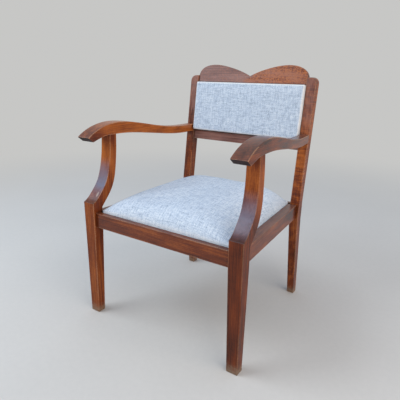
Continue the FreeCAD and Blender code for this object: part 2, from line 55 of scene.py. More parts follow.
def setCamera():
    heading, pitch, roll = (math.radians(shot[k]) for k in ("heading", "pitch", "roll"))
    right = Vector((math.cos(heading), math.sin(heading), 0))
    level = math.cos(pitch)
    ahead = Vector((-math.sin(heading) * level, math.cos(heading) * level, -math.sin(pitch)))
    up = right.cross(ahead)
    axisX = math.cos(roll) * right + math.sin(roll) * up
    axisY = math.cos(roll) * up - math.sin(roll) * right
    place = Matrix((axisX, axisY, -ahead)).transposed().to_4x4()
    place.translation = Vector(shot["place"])
    data = bpy.data.cameras.new("photoCamera")
    data.lens = shot["lens"]
    data.sensor_width = shot["sensor"]
    data.clip_end = shot["farClip"]
    camera = bpy.data.objects.new("photoCamera", data)
    camera.matrix_world = place
    scene.collection.objects.link(camera)
    scene.camera = camera


setCamera()

# helpers for shader trees


def feed(tree, node, inputs):
    # sockets are linked, plain values are set
    for key, value in inputs.items():
        if isinstance(value, bpy.types.NodeSocket):
            tree.links.new(value, node.inputs[key])
        else:
            node.inputs[key].default_value = value


def addNode(tree, kind, inputs=None, **settings):
    made = tree.nodes.new(kind)
    for key, value in settings.items():
        setattr(made, key, value)
    feed(tree, made, inputs or {})
    return made


def newMaterial(name, onWeave=False):
    # with the place its pattern lies on: the object's own frame, or the cloth's threads
    material = bpy.data.materials.new(name)
    material.use_nodes = True
    tree = material.node_tree
    tree.nodes.clear()
    surface = tree.nodes.new("ShaderNodeBsdfPrincipled")
    output = tree.nodes.new("ShaderNodeOutputMaterial")
    tree.links.new(surface.outputs[0], output.inputs[0])
    if onWeave:
        place = addNode(tree, "ShaderNodeAttribute", attribute_name="weave").outputs["Vector"]
    else:
        place = addNode(tree, "ShaderNodeTexCoord").outputs["Object"]
    return material, tree, surface, place


def calc(tree, operation, a, b=0.0, c=0.0, clamp=False):
    made = addNode(tree, "ShaderNodeMath", {0: a, 1: b, 2: c}, operation=operation, use_clamp=clamp)
    return made.outputs[0]


def times(tree, a, b, clamp=False):
    return calc(tree, "MULTIPLY", a, b, clamp=clamp)


def plus(tree, a, b, clamp=False):
    return calc(tree, "ADD", a, b, clamp=clamp)


def minus(tree, a, b):
    return calc(tree, "SUBTRACT", a, b)


def timesPlus(tree, a, b, c, clamp=False):
    return calc(tree, "MULTIPLY_ADD", a, b, c, clamp)


def vecCalc(tree, operation, a, b=(0, 0, 0)):
    made = addNode(tree, "ShaderNodeVectorMath", {0: a, 1: b}, operation=operation)
    return made.outputs["Value"] if operation in ("LENGTH", "DOT_PRODUCT") else made.outputs[0]


def mapped(tree, vector, scale=(1, 1, 1), turn=(0, 0, 0), shift=(0, 0, 0)):
    inputs = {"Vector": vector, "Scale": scale, "Rotation": turn, "Location": shift}
    return addNode(tree, "ShaderNodeMapping", inputs).outputs[0]


def cloudy(tree, vector, scale=1.0, detail=2.0, rough=0.5, twist=0.0):
    inputs = {"Vector": vector, "Scale": scale, "Detail": detail, "Roughness": rough, "Distortion": twist}
    return addNode(tree, "ShaderNodeTexNoise", inputs).outputs[0]


def between(tree, value, low, high):
    inputs = {"Value": value, "From Min": low, "From Max": high}
    return addNode(tree, "ShaderNodeMapRange", inputs, interpolation_type="SMOOTHSTEP").outputs[0]


def blendColour(tree, factor, a, b, way="MIX"):
    made = addNode(tree, "ShaderNodeMix", {0: factor, 6: a, 7: b}, data_type="RGBA", blend_type=way)
    return made.outputs[2]


def ramp(tree, factor, stops):
    made = addNode(tree, "ShaderNodeValToRGB", {0: factor})
    bar = made.color_ramp
    while len(bar.elements) < len(stops):
        bar.elements.new(0.5)
    for element, (place, colour) in zip(bar.elements, stops):
        element.position = place
        element.color = (*colour, 1.0)
    return made.outputs[0]


def bumped(tree, height, strength, depth):
    inputs = {"Height": height, "Strength": strength, "Distance": depth}
    return addNode(tree, "ShaderNodeBump", inputs).outputs[0]


# the back panel's sizes and lean
backLook = {"pivotY": 0.191, "pivotZ": 0.356, "lean": math.atan2(58.0, 409.0), "setback": 0.006,
            "middle": 0.3013, "half": 0.2114, "halfHeight": 0.0881, "thick": 0.0175, "roll": 0.0055,
            "corner": 0.0045, "crown": 0.0022, "rearGap": 0.0004, "sideRows": 3, "gridStep": 0.006,
            "edgeBand": 0.016, "highlightStart": 1.5, "highlightWidth": 0.004, "heldEdge": 0.0001,
            "pressure": 4.0, "stiff": 14.0, "bend": 0.8, "cap": 0.0014, "give": 0.0003}

# stained oak under old satin varnish, with the colours of its painted sheen, highlight and shade
oakLook = {"deep": (0.026, 0.007, 0.005), "mid": (0.160, 0.030, 0.007), "light": (0.430, 0.112, 0.018),
           "worn": (0.600, 0.340, 0.190), "scuffed": (0.25, 0.175, 0.115), "hollowSheen": (0.150, 0.155, 0.215),
           "shadeDirtColour": (0.020, 0.012, 0.010), "frontSheen": (0.27, 0.165, 0.150), "topShadeSheen": (0.150, 0.083, 0.068),
           "spot": (0.50, 0.40, 0.33), "tone": 0.46, "ringGap": 0.0048, "arrisReach": 0.0034,
           "occlusionReach": 0.016, "poreDepth": 0.0004, "coat": 0.62, "coatRough": 0.21, "specular": 0.06}
# layers of the figure: stretch along and across the grain, detail, roughness
oakGrain = {"drift": ((2.6, 10, 10), 2.0, 0.5), "blotch": ((9, 34, 34), 3.0, 0.6),
            "streak": ((5, 190, 190), 3.0, 0.6), "pores": ((75, 1500, 1500), 1.0, 0.5),
            "fine": ((16, 820, 820), 2.0, 0.6), "curl": ((250, 18, 18), 1.5, 0.5),
            "rubbed": ((11, 50, 50), 3.0, 0.6)}
# what each layer adds to the tone, then how strong each mark of age, painted shade, shadow and highlight is
oakWeight = {"rings": 0.12, "drift": 0.9, "blotch": 1.1, "streak": 1.0, "fine": 0.5, "rays": 0.32,
             "pores": -0.12, "wear": 0.75, "shadeAndDirt": 0.85, "hollowFootShade": 0.55, "gap": 0.75, "spot": 0.6,
             "scuff": 0.7}
# where an effect starts and where it is full, in noise values, metres or parts of the normal
oakFade = {"pores": (0.60, 0.72), "rays": (0.41, 0.67), "raysFront": (0.2, -0.4), "lift": (0.40, 0.53),
           "curl": (0.28, 0.38), "underArmShadow": (0.535, 0.585), "tip": (-0.205, -0.255), "left": (0.006, -0.012),
           "front": (-0.5, -0.9), "top": (0.45, 0.80), "flatTop": (0.80, 0.97), "hollow": (0.10, 0.24),
           "hollowFront": (-0.35, -0.6), "hollowRise": (0.384, 0.540), "hollowFootShade": (0.404, 0.385),
           "spot": (1.0, 0.35), "arris": (0.10, 0.50), "rubbed": (0.36, 0.54), "corner": (0.74, 0.25),
           "aboveFloor": (-0.002, 0.03), "gap": (0.0045, 0.0010), "gapFront": (0.3, -0.3),
           "scuff": (0.016, -0.014)}


def oakMaterial(name, part, seed):
    material, tree, surface, place = newMaterial(name)
    along = mapped(tree, place, turn=part["turn"])
    along = mapped(tree, along, shift=(seed * 0.37, seed * 0.053, seed * 0.031))    # no two members alike

    def layer(key):
        scale, detail, rough = oakGrain[key]
        return cloudy(tree, mapped(tree, along, scale=scale), detail=detail, rough=rough)

    def fade(value, key):
        return between(tree, value, *oakFade[key])

    def tinted(base, amount, key):
        return blendColour(tree, amount, base, (*oakLook[key], 1))

    rings = addNode(tree, "ShaderNodeTexWave", {
        "Vector": mapped(tree, along, scale=(0.06, 1, 1), shift=(0, 0.085 + 0.01 * math.sin(seed), 0.06)),
        "Scale": 2 * math.pi / (20 * oakLook["ringGap"]), "Distortion": 5.5, "Detail": 2.0,
        "Detail Scale": 0.32, "Detail Roughness": 0.55},
        wave_type="RINGS", rings_direction="X", wave_profile="SIN").outputs["Fac"]
    drift, blotch, streak, fine, curl = (layer(k) for k in ("drift", "blotch", "streak", "fine", "curl"))
    pores = fade(layer("pores"), "pores")
    rays = mapped(tree, along, scale=(175, 270, 270), turn=(0, 0.35, 0.35))
    rays = fade(cloudy(tree, rays, detail=2.0, twist=0.3), "rays")

    # one tone from the whole figure, then the stain's colours
    across, depth, rise = addNode(tree, "ShaderNodeSeparateXYZ", {0: place}).outputs
    flat = addNode(tree, "ShaderNodeNewGeometry").outputs["Normal"]
    toSide, toRear, toTop = addNode(tree, "ShaderNodeSeparateXYZ", {0: flat}).outputs
    value = timesPlus(tree, fade(rise, "lift"), part.get("lift", 0.0), oakLook["tone"] + part["tone"])
    upper = timesPlus(tree, fade(rise, "curl"), 0.6, 0.4)    # less curl in the lower legs
    curl = timesPlus(tree, minus(tree, curl, 0.5), upper, 0.5)
    figure = part.get("figure", 1.0)
    weights = ((rings, oakWeight["rings"]), (drift, oakWeight["drift"] * figure),
               (blotch, oakWeight["blotch"] * figure), (streak, oakWeight["streak"] * figure),
               (fine, oakWeight["fine"]), (curl, part["curl"]))
    for noise, weight in weights:
        value = timesPlus(tree, minus(tree, noise, 0.5), weight, value)
    # painted shadow under the arms, at the top of the front legs
    if "underArmShadow" in part:
        value = timesPlus(tree, fade(rise, "underArmShadow"), part["underArmShadow"], value)
    if "tipTone" in part:
        value = timesPlus(tree, fade(depth, "tip"), part["tipTone"], value)
    if "leftTone" in part:
        lean = timesPlus(tree, minus(tree, part["notch"], rise), 1.3, across)
        lean = timesPlus(tree, minus(tree, blotch, 0.5), 0.06, lean)
        isLeft = fade(lean, "left")
        value = timesPlus(tree, isLeft, part["leftTone"], value)
        rays = times(tree, rays, timesPlus(tree, isLeft, -0.55, 1.0))
    rays = times(tree, rays, timesPlus(tree, fade(toRear, "raysFront"), 0.65, 0.35))
    value = timesPlus(tree, rays, oakWeight["rays"] * part["fleck"], value)
    value = timesPlus(tree, pores, oakWeight["pores"], value, clamp=True)
    colour = ramp(tree, value, [(0.0, oakLook["deep"]), (0.46, oakLook["mid"]), (1.0, oakLook["light"])])

    # painted sheen: a mauve-grey reflection painted on the front faces of the back rails and rear posts
    if "sheenAmount" in part:
        frontSheen = plus(tree, times(tree, blotch, 0.9), times(tree, streak, 0.9))
        frontSheen = plus(tree, frontSheen, part["sheenAmount"] - 0.40)
        if "leftTone" in part:
            frontSheen = timesPlus(tree, isLeft, part["leftSheen"], frontSheen)
        frontSheen = times(tree, frontSheen, between(tree, rise, part["sheenFrom"] - 0.04, part["sheenFrom"] + 0.06))
        frontSheen = times(tree, frontSheen, fade(toRear, "front"), clamp=True)
        colour = tinted(colour, frontSheen, "frontSheen")

    # painted sheen and shade: the up-facing tops of the arms and side rails painted greyer and darker
    if "topSheen" in part:
        topShadeSheen = timesPlus(tree, blotch, 0.6, part["topSheen"] - 0.3)
        colour = tinted(colour, times(tree, fade(toTop, "top"), topShadeSheen), "topShadeSheen")

    # painted reflection: a blue-grey sheen of the sky painted on the up-facing hollow of the arm posts
    if "hollowSheen" in part:
        low, high = oakFade["hollowRise"]
        zone = {"Value": rise, "From Min": low, "From Max": high}
        height = addNode(tree, "ShaderNodeMapRange", zone).outputs[0]
        profile = ramp(tree, height, [(at, (amount,) * 3) for at, amount in part["hollowSheenProfile"]])
        hollow = times(tree, fade(toTop, "hollow"), profile)
        foreside = fade(toRear, "hollowFront")
        sheenPatches = plus(tree, times(tree, streak, 0.8), timesPlus(tree, blotch, 1.6, -0.35), clamp=True)
        sheenAmount = times(tree, times(tree, hollow, foreside), sheenPatches)
        colour = tinted(colour, times(tree, sheenAmount, part["hollowSheen"]), "hollowSheen")
        # painted highlight: a pale patch low in the hollow
        if "spot" in part:
            reach = vecCalc(tree, "SUBTRACT", place, part["spot"])
            reach = vecCalc(tree, "MULTIPLY", reach, (200.0, 0.0, 105.0))
            near = timesPlus(tree, streak, 0.8, minus(tree, vecCalc(tree, "LENGTH", reach), 0.4))
            near = times(tree, fade(near, "spot"), foreside)
            colour = tinted(colour, times(tree, near, oakWeight["spot"]), "spot")

    # rubbed arrises, not the cut ends
    rounded = addNode(tree, "ShaderNodeBevel", {"Radius": oakLook["arrisReach"]}, samples=4).outputs[0]
    keep = tuple(1.0 - abs(g) for g in part["grain"])
    bend = vecCalc(tree, "LENGTH", vecCalc(tree, "MULTIPLY", vecCalc(tree, "SUBTRACT", rounded, flat), keep))
    rub = times(tree, fade(bend, "arris"), fade(layer("rubbed"), "rubbed"))
    colour = tinted(colour, times(tree, rub, part.get("wear", oakWeight["wear"])), "worn")

    # grime and painted shade in the corners, painted shade at the foot of the hollow, a painted shadow in the
    # gaps round the panel and painted shade on flat tops
    reach = {"Distance": oakLook["occlusionReach"]}
    openness = addNode(tree, "ShaderNodeAmbientOcclusion", reach, samples=6).outputs["AO"]
    shadeAndDirt = times(tree, times(tree, fade(openness, "corner"), fade(rise, "aboveFloor")), oakWeight["shadeAndDirt"])
    # painted shade at the foot of the hollow
    if "hollowSheen" in part:
        foot = times(tree, fade(rise, "hollowFootShade"), fade(toTop, "hollow"))
        shadeAndDirt = calc(tree, "MAXIMUM", shadeAndDirt, times(tree, foot, oakWeight["hollowFootShade"]))
    # painted shadow line on the crest and lower rail where they meet the panel
    if "gapLine" in part:
        upward = (0, math.sin(backLook["lean"]), math.cos(backLook["lean"]))
        start = vecCalc(tree, "SUBTRACT", place, (0, backLook["pivotY"], backLook["pivotZ"]))
        apart = minus(tree, vecCalc(tree, "DOT_PRODUCT", start, upward), part["gapLine"])
        shadow = times(tree, fade(calc(tree, "ABSOLUTE", apart), "gap"), fade(toRear, "gapFront"))
        shadeAndDirt = calc(tree, "MAXIMUM", shadeAndDirt, times(tree, shadow, oakWeight["gap"]))
    # painted shade on the flat top of the front rail, under the seat's edge
    if "shadedTop" in part:
        shadeAndDirt = calc(tree, "MAXIMUM", shadeAndDirt, times(tree, fade(toTop, "flatTop"), part["shadedTop"]))
    colour = tinted(colour, shadeAndDirt, "shadeDirtColour")
    rough = timesPlus(tree, streak, 0.25, 0.26)
    rough = timesPlus(tree, rub, 0.14, rough)
    if part["feet"]:
        ragged = cloudy(tree, place, scale=120.0, detail=3.0)
        scuff = fade(timesPlus(tree, ragged, -0.036, rise), "scuff")
        colour = tinted(colour, times(tree, scuff, oakWeight["scuff"]), "scuffed")
        rough = timesPlus(tree, scuff, 0.3, rough)
    pits = timesPlus(tree, pores, -0.7, times(tree, fine, 0.5))
    feed(tree, surface, {
        "Base Color": colour, "Roughness": rough, "Normal": bumped(tree, pits, 0.25, oakLook["poreDepth"]),
        "Coat Weight": part.get("coat", oakLook["coat"]), "Coat Roughness": oakLook["coatRough"],
        "Specular IOR Level": oakLook["specular"]})
    return material


def endGrainMaterial(name, dark, mid, pale, coat, rough):
    material, tree, surface, place = newMaterial(name)
    speck = addNode(tree, "ShaderNodeTexVoronoi", {"Vector": place, "Scale": 900.0}).outputs["Distance"]
    years = cloudy(tree, mapped(tree, place, scale=(60, 60, 420)), detail=3.0)
    value = timesPlus(tree, speck, 0.5, times(tree, years, 0.8))
    colour = ramp(tree, value, [(0.25, dark), (0.6, mid), (1.0, pale)])
    feed(tree, surface, {"Base Color": colour, "Normal": bumped(tree, value, 0.3, 0.0004), "Roughness": rough,
                         "Coat Weight": coat, "Coat Roughness": 0.25, "Specular IOR Level": 0.2})
    return material


def rawWoodMaterial(name, pale, dark, turn=(0, 0, 0), layers=0.0):
    material, tree, surface, place = newMaterial(name)
    along = mapped(tree, place, turn=turn)
    line = cloudy(tree, mapped(tree, along, scale=(9, 240, 240)), detail=4.0, rough=0.62)
    broad = cloudy(tree, mapped(tree, along, scale=(3, 26, 26)), detail=2.0)
    saw = addNode(tree, "ShaderNodeTexWave", {"Vector": along, "Scale": 95.0, "Distortion": 1.5},
                  bands_direction="X").outputs["Fac"]
    value = timesPlus(tree, line, 0.8, times(tree, broad, 0.45))
    value = timesPlus(tree, saw, 0.06 + layers, minus(tree, value, 0.15))
    colour = ramp(tree, value, [(0.2, dark), (0.75, pale)])
    feed(tree, surface, {"Base Color": colour, "Normal": bumped(tree, value, 0.2, 0.0005), "Roughness": 0.72})
    return material


# woven cover: pale slub threads, warp and weft each with its own dyed runs, and a painted highlight along the
# edges
clothLook = {"pitch": 0.0016, "firstThread": 4000.0, "weftOffset": 137.3, "weftDrop": 0.12,
             "longRun": (30.0, 0.21, 3.17), "shortRun": (110.0, 0.15, 5.71), "dyed": (0.28, 0.62),
             "slub": (170.0, 26.0), "slubWeight": 0.08, "fuzz": 2600.0, "fuzzWeight": 0.16,
             "dark": (0.290, 0.350, 0.440), "mid": (0.565, 0.640, 0.745), "light": (0.850, 0.880, 0.915),
             "edgeHighlight": (0.90, 0.86, 0.82), "edgeHighlightTone": 0.18, "edgeHighlightTint": 0.7, "bump": 0.0005,
             "relief": 0.55}


def coverMaterial(name, brightness):
    material, tree, surface, place = newMaterial(name, onWeave=True)
    u, v, edgeHighlight = addNode(tree, "ShaderNodeSeparateXYZ", {0: place}).outputs
    slubAcross, slubAlong = clothLook["slub"]
    threads = []
    for across, along, offset in ((u, v, 0.0), (v, u, clothLook["weftOffset"])):
        number = timesPlus(tree, across, 1.0 / clothLook["pitch"], clothLook["firstThread"])
        index = calc(tree, "FLOOR", times(tree, number, 0.5))    # two threads lie side by side
        run = 0.0
        for often, weight, step in (clothLook["longRun"], clothLook["shortRun"]):
            lane = timesPlus(tree, calc(tree, "FLOOR", number), step, offset)
            spot = addNode(tree, "ShaderNodeCombineXYZ", {0: lane, 1: times(tree, along, often)}).outputs[0]
            dyed = between(tree, cloudy(tree, spot, detail=1.0, rough=0.5), *clothLook["dyed"])
            run = timesPlus(tree, minus(tree, dyed, 0.5), weight, run)
        stretch = {0: times(tree, across, slubAcross), 1: timesPlus(tree, along, slubAlong, offset)}
        slub = cloudy(tree, addNode(tree, "ShaderNodeCombineXYZ", stretch).outputs[0], detail=2.0, rough=0.5)
        roundness = calc(tree, "SINE", times(tree, calc(tree, "FRACT", number), math.pi))
        threads.append({"index": index, "run": run, "slub": slub, "round": roundness})
    warp, weft = threads
    parity = calc(tree, "PINGPONG", plus(tree, warp["index"], weft["index"]), 1.0)
    over = calc(tree, "GREATER_THAN", parity, 0.5)
    under = minus(tree, 1.0, over)

    def pick(key):
        return plus(tree, times(tree, warp[key], under), times(tree, weft[key], over))

    both = plus(tree, warp["run"], weft["run"])
    run = plus(tree, times(tree, pick("run"), 0.6), times(tree, both, 0.7))
    slub = times(tree, plus(tree, warp["slub"], weft["slub"]), 0.5)
    height = pick("round")
    fuzz = cloudy(tree, place, scale=clothLook["fuzz"], detail=2.0)
    tone = plus(tree, run, times(tree, slub, clothLook["slubWeight"]))
    tone = timesPlus(tree, fuzz, clothLook["fuzzWeight"], plus(tree, tone, brightness))
    tone = timesPlus(tree, over, -clothLook["weftDrop"], tone)
    # painted highlight: the cover is lighter and creamier where it turns over an edge
    tone = timesPlus(tree, edgeHighlight, clothLook["edgeHighlightTone"], tone)
    colour = ramp(tree, tone, [(0.18, clothLook["dark"]), (0.5, clothLook["mid"]),
                               (0.78, clothLook["light"])])
    tint = times(tree, edgeHighlight, clothLook["edgeHighlightTint"])
    colour = blendColour(tree, tint, colour, (*clothLook["edgeHighlight"], 1))
    # painted shade: each round thread is darker at its sides
    shade = timesPlus(tree, height, 0.34, 0.70)    # darker between the threads
    grey = addNode(tree, "ShaderNodeCombineColor", {0: shade, 1: shade, 2: shade}).outputs[0]
    colour = blendColour(tree, 1.0, colour, grey, "MULTIPLY")
    feed(tree, surface, {
        "Base Color": colour, "Normal": bumped(tree, height, clothLook["relief"], clothLook["bump"]),
        "Roughness": 0.9, "Specular IOR Level": 0.25, "Sheen Weight": 0.22, "Sheen Roughness": 0.45})
    return material


def liningMaterial():
    material, tree, surface, place = newMaterial("blackLining", onWeave=True)
    threads = {"Vector": place, "Scale": 160.0}
    warp, weft = (addNode(tree, "ShaderNodeTexWave", threads, bands_direction=way).outputs["Fac"]
                  for way in ("X", "Y"))
    lint = cloudy(tree, place, scale=38.0, detail=4.0, rough=0.65)
    height = times(tree, warp, weft)
    value = timesPlus(tree, height, 0.35, times(tree, lint, 0.65))
    colour = ramp(tree, value, [(0.2, (0.012, 0.012, 0.014)), (0.6, (0.030, 0.030, 0.033)),
                                (0.95, (0.085, 0.083, 0.080))])
    feed(tree, surface, {"Base Color": colour, "Normal": bumped(tree, height, 0.4, 0.0003), "Roughness": 0.92,
                         "Sheen Weight": 0.15})
    return material


def steelMaterial(name, pale, dark, rust):
    material, tree, surface, place = newMaterial(name)
    wear = cloudy(tree, place, scale=900.0, detail=4.0, rough=0.6)
    spots = between(tree, cloudy(tree, place, scale=420.0, detail=3.0), 0.52, 0.68)
    colour = ramp(tree, wear, [(0.3, dark), (0.7, pale)])
    colour = blendColour(tree, times(tree, spots, 0.6), colour, (*rust, 1))
    feed(tree, surface, {"Base Color": colour, "Roughness": timesPlus(tree, spots, 0.3, 0.34),
                         "Normal": bumped(tree, wear, 0.2, 0.0002), "Metallic": 1.0})
    return material


# end grain of the arm ends, painted darker and greyer as shade on these down-facing faces
armEndGrainShaded = endGrainMaterial("oakArmEndShaded", (0.012, 0.008, 0.009), (0.030, 0.018, 0.018),
                               (0.075, 0.040, 0.034), coat=0.04, rough=0.75)
endGrain = endGrainMaterial("oakEnd", (0.030, 0.009, 0.005), (0.085, 0.024, 0.010), (0.19, 0.06, 0.02),
                            coat=0.3, rough=0.46)
beechAcross = rawWoodMaterial("beechAcross", (0.56, 0.40, 0.25), (0.34, 0.22, 0.12))
beechAlong = rawWoodMaterial("beechAlong", (0.56, 0.40, 0.25), (0.34, 0.22, 0.12), turn=(0, 0, -math.pi / 2))
plywood = rawWoodMaterial("birchPly", (0.66, 0.51, 0.33), (0.45, 0.32, 0.19), layers=0.10)
seatWeave, panelWeave = coverMaterial("seatWeave", 0.40), coverMaterial("panelWeave", 0.34)
blackLining = liningMaterial()
screwSteel = steelMaterial("oldScrewSteel", (0.50, 0.48, 0.45), (0.20, 0.19, 0.18), (0.16, 0.07, 0.03))
tackSteel = steelMaterial("bluedTackSteel", (0.16, 0.17, 0.20), (0.05, 0.05, 0.06), (0.10, 0.05, 0.03))
print("materials made")


# helpers for meshes


def newPiece(name, mesh, body, stands):
    piece = bpy.data.objects.new(name, mesh)
    scene.collection.objects.link(piece)
    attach(piece, body)
    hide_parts(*stands)
    return piece


def finished(obj):
    # modifiers turned into a plain mesh
    graph = bpy.context.evaluated_depsgraph_get()
    made = obj.evaluated_get(graph)
    mesh = bpy.data.meshes.new_from_object(made, preserve_all_data_layers=True, depsgraph=graph)
    old = obj.data
    obj.modifiers.clear()
    obj.data = mesh
    mesh.name = obj.name
    bpy.data.meshes.remove(old)


def nodeTree(names):
    # one search tree over several nodes' surfaces
    points, faces = [], []
    for name in names:
        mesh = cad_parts[name].data
        start = len(points)
        points += [v.co.copy() for v in mesh.vertices]
        faces += [[start + i for i in p.vertices] for p in mesh.polygons]
    return BVHTree.FromPolygons(points, faces)


# oak members: the CAD solids with their arrises eased, joints left crisp
upright = {"turn": (0, math.pi / 2, 0), "grain": (0, 0, 1), "feet": True}
lengthwise = {"turn": (0, 0, -math.pi / 2), "grain": (0, 1, 0), "feet": False}
crosswise = {"turn": (0, 0, 0), "grain": (1, 0, 0), "feet": False}
# the sheen, spot, shadow and shade values in these parts set painted light
sideRail = dict(lengthwise, ease=0.9, tone=-0.04, fleck=0.2, curl=0.2, topSheen=0.45, wear=0.35)
sideAngle = math.radians(4.61)
oakParts = [
    dict(upright, node="front_leg_left", ease=1.5, tone=0.08, fleck=0.3, curl=0.15, coat=0.25, lift=0.30,
         figure=0.7, wear=0.80, underArmShadow=-0.28, hollowSheen=0.95, spot=(-0.2535, 0, 0.406),
         hollowSheenProfile=[(0.0, 0.15), (0.13, 0.30), (0.30, 1.0), (0.55, 0.75), (1.0, 0.2)]),
    dict(upright, node="front_leg_right", ease=1.5, tone=-0.19, fleck=0.2, curl=0.2, coat=0.36, lift=0.55,
         figure=0.65, wear=0.45, underArmShadow=-0.34, hollowSheen=0.70,
         hollowSheenProfile=[(0.0, 0.35), (0.12, 0.75), (0.30, 1.0), (0.50, 0.75), (0.75, 0.0)]),
    dict(upright, node="rear_post_left", ease=1.8, thin=0.02, tone=-0.02, fleck=0.5, curl=0.4, coat=0.42,
         sheenAmount=-0.17, sheenFrom=0.60),
    dict(upright, node="rear_post_right", ease=1.8, tone=0.04, fleck=0.3, curl=0.85, figure=1.1, coat=0.42,
         sheenAmount=-0.15, sheenFrom=0.60),
    dict(lengthwise, node="arm_left", ease=1.8, thin=0.02, tone=0.30, fleck=0.2, curl=0.2, tipTone=-0.30,
         topSheen=0.15),
    dict(lengthwise, node="arm_right", ease=1.8, thin=0.02, tone=-0.13, fleck=0.2, curl=0.2, topSheen=0.40),
    dict(crosswise, node="front_seat_rail", ease=0.9, tone=-0.08, fleck=0.3, curl=0.2, figure=0.8,
         shadedTop=0.15),
    dict(crosswise, node="rear_seat_rail", ease=0.9, tone=-0.08, fleck=0.2, curl=0.2),
    dict(sideRail, node="side_seat_rail_left", turn=(0, 0, sideAngle - math.pi / 2)),
    dict(sideRail, node="side_seat_rail_right", turn=(0, 0, -sideAngle - math.pi / 2)),
    dict(crosswise, node="crest_rail", ease=1.5, tone=0.05, fleck=2.8, curl=0.3, wear=0.5, leftTone=-0.13,
         notch=0.757, sheenAmount=-0.30, sheenFrom=0.40, leftSheen=0.32, gapLine=0.3900),
    dict(crosswise, node="lower_back_rail", ease=0.9, tone=-0.04, fleck=0.4, curl=0.2, sheenAmount=0.0,
         sheenFrom=0.40, gapLine=0.2126)]
# ease in mm, thin in degrees; angles are between the normals of two faces
oakRule = {"thin": 0.4, "sharp": math.radians(28), "folded": math.radians(125), "smooth": math.radians(38),
           "merge": 2e-6, "mergeAfter": 1e-5, "nearJoint": 0.0003, "segments": 3, "endCut": 0.93}
armEndNormal = Vector((0, -0.614, -0.789))


def oakPiece(part, number):
    name = part["node"]
    isArm = name.startswith("arm")
    bm = bmesh.new()
    bm.from_mesh(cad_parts[name].data)
    bmesh.ops.remove_doubles(bm, verts=bm.verts[:], dist=oakRule["merge"])
    thin = math.radians(part.get("thin", oakRule["thin"]))
    bmesh.ops.dissolve_limit(bm, angle_limit=thin, verts=bm.verts[:], edges=bm.edges[:])
    soft = ("seat_", "back_c", "back_f")
    others = nodeTree([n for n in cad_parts
                       if n != name and not n.startswith(soft) or n == "seat_rail_dowels"])

    def isFree(edge):
        a, b = (v.co for v in edge.verts)
        stops = [a.lerp(b, t) for t in (0.2, 0.5, 0.8)]
        return all(others.find_nearest(p, oakRule["nearJoint"])[0] is None for p in stops)

    arrises = [e for e in bm.edges if len(e.link_faces) == 2 and e.is_convex
               and e.calc_face_angle() > oakRule["sharp"] and isFree(e)]
    bmesh.ops.bevel(bm, geom=arrises, offset=part["ease"] * mm, offset_type="OFFSET",
                    segments=oakRule["segments"], profile=0.5, affect="EDGES", clamp_overlap=False)
    bmesh.ops.remove_doubles(bm, verts=bm.verts[:], dist=oakRule["mergeAfter"])

    # a joint face pushed over itself by the bevel joins its neighbours
    bm.normal_update()
    folded = [e for e in bm.edges if len(e.link_faces) == 2 and e.calc_face_angle() > oakRule["folded"]]
    bmesh.ops.dissolve_edges(bm, edges=folded, use_verts=True)
    bm.normal_update()
    grain = Vector(part["grain"])
    for face in bm.faces:
        face.smooth = True
        isEnd = abs(face.normal.dot(grain)) > oakRule["endCut"]
        if isArm and face.normal.dot(armEndNormal) > oakRule["endCut"]:
            isEnd = True
        face.material_index = 1 if isEnd else 0
    mesh = bpy.data.meshes.new(name + "_oak")
    bm.to_mesh(mesh)
    bm.free()
    mesh.set_sharp_from_angle(angle=oakRule["smooth"])
    mesh.materials.append(oakMaterial("oak_" + name, part, number + 1))
    mesh.materials.append(armEndGrainShaded if isArm else endGrain)
    piece = newPiece(name + "_oak", mesh, "chair_frame", [name])
    piece.modifiers.new("evenNormals", "WEIGHTED_NORMAL").keep_sharp = True
    finished(piece)


for number, part in enumerate(oakParts):
    oakPiece(part, number)
print("oak members made")


# soft pads: a crowned sheet over a flat base, joined by side rows


def eased(table, at):
    # smooth curve through a table without overshoot
    xs, ys = (np.array(c, float) for c in zip(*table))
    step = np.diff(xs)
    slope = np.diff(ys) / step
    tangent = np.zeros_like(ys)
    both = slope[:-1] * slope[1:]
    safe = np.where(both > 0, slope[:-1] + slope[1:], 1.0)
    tangent[1:-1] = np.where(both > 0, 2.0 * both / safe, 0.0)
    tangent[0], tangent[-1] = slope[0], slope[-1]
    k = np.clip(np.searchsorted(xs, at, side="right") - 1, 0, len(step) - 1)
    t = (at - xs[k]) / step[k]
    low, high = ys[k], ys[k + 1]
    return (low * (1 + 2 * t) * (1 - t) ** 2 + high * t * t * (3 - 2 * t)
            + step[k] * (tangent[k] * t * (1 - t) ** 2 - tangent[k + 1] * t * t * (1 - t)))


def arcLength(grid, axis):
    steps = np.linalg.norm(np.diff(grid, axis=axis), axis=2)
    total = np.insert(np.cumsum(steps, axis=axis), 0, 0.0, axis=axis)
    middle = np.take(total, [total.shape[axis] // 2], axis=axis)
    return total - middle


